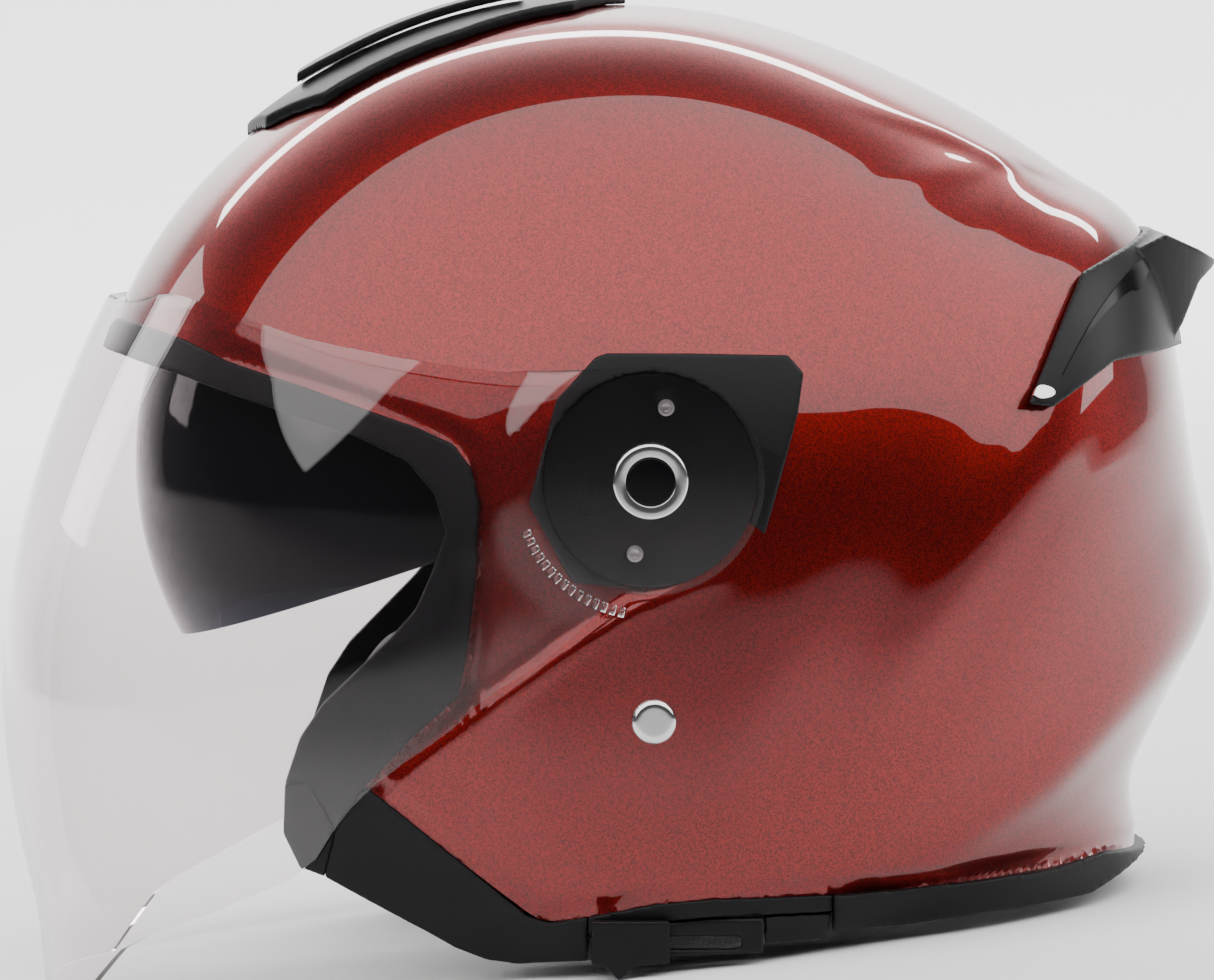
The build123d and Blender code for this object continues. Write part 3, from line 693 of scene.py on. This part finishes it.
cells = [
    (i * columns + j, (i + 1) * columns + j, (i + 1) * columns + j + 1, i * columns + j + 1)
    for i in range(len(levels) - 1)
    for j in range(columns - 1)
]
hub_hole = 7.7
near_hole = np.hypot(flat_points[:, 1], flat_points[:, 2]) < hub_hole
kept_sheet = inside_outline(flat_points[:, 1], flat_points[:, 2], shield_edge) & ~near_hole
used, shield_faces = trimmed_sheet(cells, kept_sheet)
half_sheet = flat_points[used].copy()
for k, old in enumerate(used):
    y, z = half_sheet[k, 1], half_sheet[k, 2]
    if near_hole[old]:
        grow = hub_hole / max(math.hypot(y, z), 0.1)
        half_sheet[k] = shield_skin(y * grow, z * grow)
    elif not kept_sheet[old]:
        y, z = nearest_on(y, z, shield_edge)
        half_sheet[k] = shield_skin(y, z)

clear_shield, clear_tree, clear_shader = plain_finish(
    "clear_shield", Transmission_Weight=1.0, Roughness=0.0, IOR=1.42, Coat_Weight=0.15, Coat_Roughness=0.02
)
clear_cloud = add_node(clear_tree, "ShaderNodeTexNoise", Scale=6.0)
clear_place = add_node(clear_tree, "ShaderNodeTexCoord")
tie(clear_tree, clear_place.outputs["Object"], clear_cloud.inputs["Vector"])
colour_spread(
    clear_tree, clear_cloud.outputs["Fac"], (0.86, 0.805, 0.815), (0.88, 0.825, 0.835),
    clear_shader.inputs["Base Color"],
)
clear_path = add_node(clear_tree, "ShaderNodeLightPath")
value_spread(clear_tree, clear_path.outputs["Is Shadow Ray"], 1.0, 0.1, clear_shader.inputs["Alpha"])

shield = sheet_piece("shield_form", half_sheet, shield_faces, shield_wall, clear_shield, "shield")
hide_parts("face_shield")

teeth_points, teeth_faces = [], []
block = np.array([(x, y, z) for x in (0, 1) for y in (-0.5, 0.5) for z in (-0.5, 0.5)])
block_faces = [(0, 1, 3, 2), (4, 6, 7, 5), (0, 4, 5, 1), (2, 3, 7, 6), (0, 2, 6, 4), (1, 5, 7, 3)]
tooth_circle = 34.2
for tooth in range(15):
    turn = math.radians(203 + 3.9 * tooth)
    along = np.array((0, -math.sin(turn), math.cos(turn)))
    outward = np.array((0, math.cos(turn), math.sin(turn)))
    base = len(teeth_points) * 1
    centre = np.array((119.9, tooth_circle * math.cos(turn), tooth_circle * math.sin(turn)))
    for x, y, z in block:
        teeth_points.append(centre + (x * 0.95, 0, 0) + along * y * 1.5 + outward * z * 2.6)
    teeth_faces += [tuple(base + corner for corner in face) for face in block_faces]
teeth_points, teeth_faces = mirrored(np.array(teeth_points), teeth_faces)
teeth = worn_object("shield_teeth", teeth_points, teeth_faces, clear_shield, "shield")

# ---------------------------------------------------------------- Hubs and side panels
# Moulded black plates on the shell's sides that the shield snaps onto, with a push button in a bright
# ring, two steel screws and a satin panel over the shield's round end.
bright_steel, steel_tree, steel_shader = plain_finish("bright_steel", Metallic=1.0, Roughness=0.12)
steel_flake = steel_tree.nodes.new("ShaderNodeGroup")
steel_flake.node_tree = grain_group
colour_spread(
    steel_tree, steel_flake.outputs["Patches"], (0.66, 0.66, 0.65), (0.78, 0.78, 0.77),
    steel_shader.inputs["Base Color"],
)
value_spread(steel_tree, steel_flake.outputs["Patches"], 0.09, 0.2, steel_shader.inputs["Roughness"])
zinc_steel, zinc_tree, zinc_shader = plain_finish("zinc_steel", Metallic=1.0, Roughness=0.3)
zinc_grain = zinc_tree.nodes.new("ShaderNodeGroup")
zinc_grain.node_tree = grain_group
colour_spread(
    zinc_tree, zinc_grain.outputs["Patches"], (0.42, 0.42, 0.43), (0.56, 0.56, 0.56),
    zinc_shader.inputs["Base Color"],
)
value_spread(zinc_tree, zinc_grain.outputs["Patches"], 0.22, 0.38, zinc_shader.inputs["Roughness"])

for side_name in ("left", "right"):
    crisp("shield_hub_" + side_name, gloss_black, 0.3)
    crisp("hub_ring_" + side_name, bright_steel, 0.2)
    crisp("push_button_" + side_name, gloss_black, 0.5)
    crisp("hub_screws_" + side_name, zinc_steel, 0.2)
    crisp("button_spring_" + side_name, zinc_steel, 0)
    soften("side_panel_" + side_name, satin_black, 0.5, 3)
    crisp("sun_visor_bracket_" + side_name, satin_black, 0.3)

# ---------------------------------------------------------------- Sun visor and its rim slider
# A dark smoke polycarbonate visor swings down behind the shield. A knob in a track on the left rim
# works it through a cable.
smoke_visor, smoke_tree, smoke_shader = plain_finish(
    "smoke_visor", Roughness=0.05, Transmission_Weight=0.04, Specular_IOR_Level=0.22
)
smoke_place = add_node(smoke_tree, "ShaderNodeTexCoord")
smoke_split = add_node(smoke_tree, "ShaderNodeSeparateXYZ")
tie(smoke_tree, smoke_place.outputs["Object"], smoke_split.inputs["Vector"])
smoke_low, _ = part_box("sun_visor")
smoke_fade = add_node(
    smoke_tree, "ShaderNodeMapRange", From_Min=smoke_low[2] + 0.002, From_Max=smoke_low[2] + 0.016
)
tie(smoke_tree, smoke_split.outputs["Z"], smoke_fade.inputs["Value"])
colour_spread(
    smoke_tree, smoke_fade.outputs["Result"], (0.02, 0.028, 0.05), (0.003, 0.003, 0.004),
    smoke_shader.inputs["Base Color"],
)
crisp("sun_visor", smoke_visor, 0.3)
soften("slider_track", satin_black, 0.5, 2)
soften("slider_knob", satin_black, 0.4, 2)
soften("slider_end_block", satin_black, 0.5, 2)

# ---------------------------------------------------------------- Crown vent and rear spoiler
# The crown vent's satin cover is fixed on with tape and pins, with a sliding shutter in it. The rear
# spoiler is one moulding over the exhaust vent.
soften("top_vent_cover", satin_black, 0.7, 4)
soften("top_vent_slider", satin_black, 0.4, 3)
soften("rear_spoiler", satin_black, 0.6, 3)


def skin_patch(name, outline, growth, wall, material):
    """A thin plate lying on the skin inside a side-view outline, on both sides."""
    ys = np.linspace(min(y for y, _ in outline), max(y for y, _ in outline), 40)
    zs = np.linspace(min(z for _, z in outline), max(z for _, z in outline), 40)
    place_y, place_z = (grid.reshape(-1) for grid in np.meshgrid(ys, zs, indexing="ij"))
    patch_cells = [
        (i * 40 + j, i * 40 + 40 + j, i * 40 + 41 + j, i * 40 + j + 1) for i in range(39) for j in range(39)
    ]
    kept = inside_outline(place_y, place_z, outline)
    used, faces = trimmed_sheet(patch_cells, kept)
    places = [
        (place_y[k], place_z[k]) if kept[k] else nearest_on(place_y[k], place_z[k], outline) for k in used
    ]
    angle, turn = skin_place([y for y, _ in places], [z for _, z in places])
    piece = sheet_piece(name, skin(angle, turn, growth), faces, wall, material)
    return piece


vent_mouth = rounded([
    (104.6, 21.3), (109, 29), (114.6, 37.8), (123.4, 47.5), (128.5, 51.1), (134.7, 52.4),
    (129.5, 47), (127.2, 42.5),
    (124.9, 43.9), (115.2, 36.6), (109.6, 28.4), (104.6, 21.3),
])
skin_patch("vent_mouth", vent_mouth, 3.6, 0.6, gloss_black)
tip_outline = rounded([(97.6, 18.2), (98.8, 21.0), (103.0, 19.8), (103.4, 17.8), (99.6, 17.0), (97.6, 18.2)])
skin_patch("spoiler_tip", tip_outline, 3.9, 1.2, bright_steel)

# ---------------------------------------------------------------- Foam, pads and neck roll
# Bead foam takes the blow; knit-covered foam pads fill the crown and cheeks, and a padded roll closes
# the nape. The pads are glued and snapped in.
weave_group, weave_in, weave_out = new_group(
    "knit_weave", (("Scale", 900),), (("Height", "NodeSocketFloat"), ("Shade", "NodeSocketFloat"))
)
weave_place = add_node(weave_group, "ShaderNodeTexCoord")
weave_wave_a = add_node(weave_group, "ShaderNodeTexWave", bands_direction="DIAGONAL", Distortion=1.5)
weave_wave_b = add_node(weave_group, "ShaderNodeTexWave", bands_direction="Z", Distortion=1.5)
weave_fuzz = add_node(weave_group, "ShaderNodeTexNoise", Scale=260.0)
weave_mix = add_node(weave_group, "ShaderNodeMath", operation="MULTIPLY")
weave_add = add_node(weave_group, "ShaderNodeMath", operation="ADD")
for wave in (weave_wave_a, weave_wave_b):
    tie(weave_group, weave_place.outputs["Object"], wave.inputs["Vector"])
    tie(weave_group, weave_in.outputs["Scale"], wave.inputs["Scale"])
tie(weave_group, weave_place.outputs["Object"], weave_fuzz.inputs["Vector"])
tie(weave_group, weave_wave_a.outputs["Fac"], weave_mix.inputs[0])
tie(weave_group, weave_wave_b.outputs["Fac"], weave_mix.inputs[1])
tie(weave_group, weave_mix.outputs["Value"], weave_add.inputs[0])
tie(weave_group, weave_fuzz.outputs["Fac"], weave_add.inputs[1])
tie(weave_group, weave_add.outputs["Value"], weave_out.inputs["Height"])
tie(weave_group, weave_fuzz.outputs["Fac"], weave_out.inputs["Shade"])


bead_foam = moulded("bead_foam", (0.018, 0.018, 0.02), (0.04, 0.04, 0.044), (0.7, 0.85), 260, 0.0004)


def knit(name, low, high, scale, sheen):
    """A knitted or woven cloth in two close tones."""
    material, tree, shader = plain_finish(name, Roughness=0.92, Sheen_Weight=sheen, Sheen_Roughness=0.4)
    weave = tree.nodes.new("ShaderNodeGroup")
    weave.node_tree = weave_group
    weave.inputs["Scale"].default_value = scale
    colour_spread(tree, weave.outputs["Shade"], low, high, shader.inputs["Base Color"])
    raise_bump(tree, weave.outputs["Height"], shader, 0.7, 0.0004)
    return material


grey_knit = knit("grey_knit", (0.06, 0.06, 0.064), (0.16, 0.16, 0.165), 520, 0.35)
black_knit = knit("black_knit", (0.012, 0.012, 0.013), (0.05, 0.05, 0.053), 420, 0.4)

impact_liner = crisp("eps_liner", bead_foam, 0)
inward = impact_liner.modifiers.new("inward", "DISPLACE")
inward.strength = -0.0015
inward.mid_level = 0
settle(impact_liner)
crisp("eps_brow_liner", bead_foam, 0)


def plump(node, material, cell, cap):
    """A pad whose cover is blown taut over its foam, moving no further than the cap."""
    piece = copied(node, node + "_form", material)
    coarse = piece.modifiers.new("coarse", "REMESH")
    coarse.mode = "VOXEL"
    coarse.voxel_size = cell * 0.001
    settle(piece)
    before = np.array([v.co[:] for v in piece.data.vertices])
    cloth = piece.modifiers.new("cloth", "CLOTH")
    cloth.settings.use_pressure = True
    cloth.settings.uniform_pressure_force = 4
    cloth.settings.effector_weights.gravity = 0
    cloth.settings.quality = 5
    cloth.point_cache.frame_start = 1
    cloth.point_cache.frame_end = 20
    for step in range(1, 21):
        bpy.context.scene.frame_set(step)
    settle(piece)
    bpy.context.scene.frame_set(1)
    after = np.array([v.co[:] for v in piece.data.vertices])
    moved = after - before
    length = np.maximum(np.linalg.norm(moved, axis=1, keepdims=True), 1e-9)
    held = before + moved * np.minimum(1, cap * 0.001 / length)
    piece.data.vertices.foreach_set("co", held.astype(np.float32).ravel())
    smooth = piece.modifiers.new("smooth", "SMOOTH")
    smooth.factor = 0.5
    smooth.iterations = 2
    finer = piece.modifiers.new("finer", "SUBSURF")
    finer.levels = 1
    finer.render_levels = 1
    settle(piece)
    piece.data.shade_smooth()
    return piece


plump("crown_liner", black_knit, 4, 1.5)
plump("cheek_pad_left", grey_knit, 4, 2.5)
plump("cheek_pad_right", grey_knit, 4, 2.5)
plump("neck_roll", grey_knit, 3, 2)

# ---------------------------------------------------------------- Chin strap
# Two woven straps hang from steel plates under domed rivets and meet in a quick-release buckle.
webbing = knit("webbing", (0.01, 0.01, 0.011), (0.035, 0.035, 0.037), 700, 0.25)
for side_name in ("left", "right"):
    crisp("chin_strap_" + side_name, webbing, 0.3)
    crisp("strap_anchor_" + side_name, zinc_steel, 0.2)
    rivet = soften("strap_rivet_" + side_name, bright_steel, 0.35, 9)
crisp("strap_tongue", satin_black, 0.3)
crisp("buckle_body", satin_black, 0.4)
crisp("buckle_lever", satin_black, 0.3)
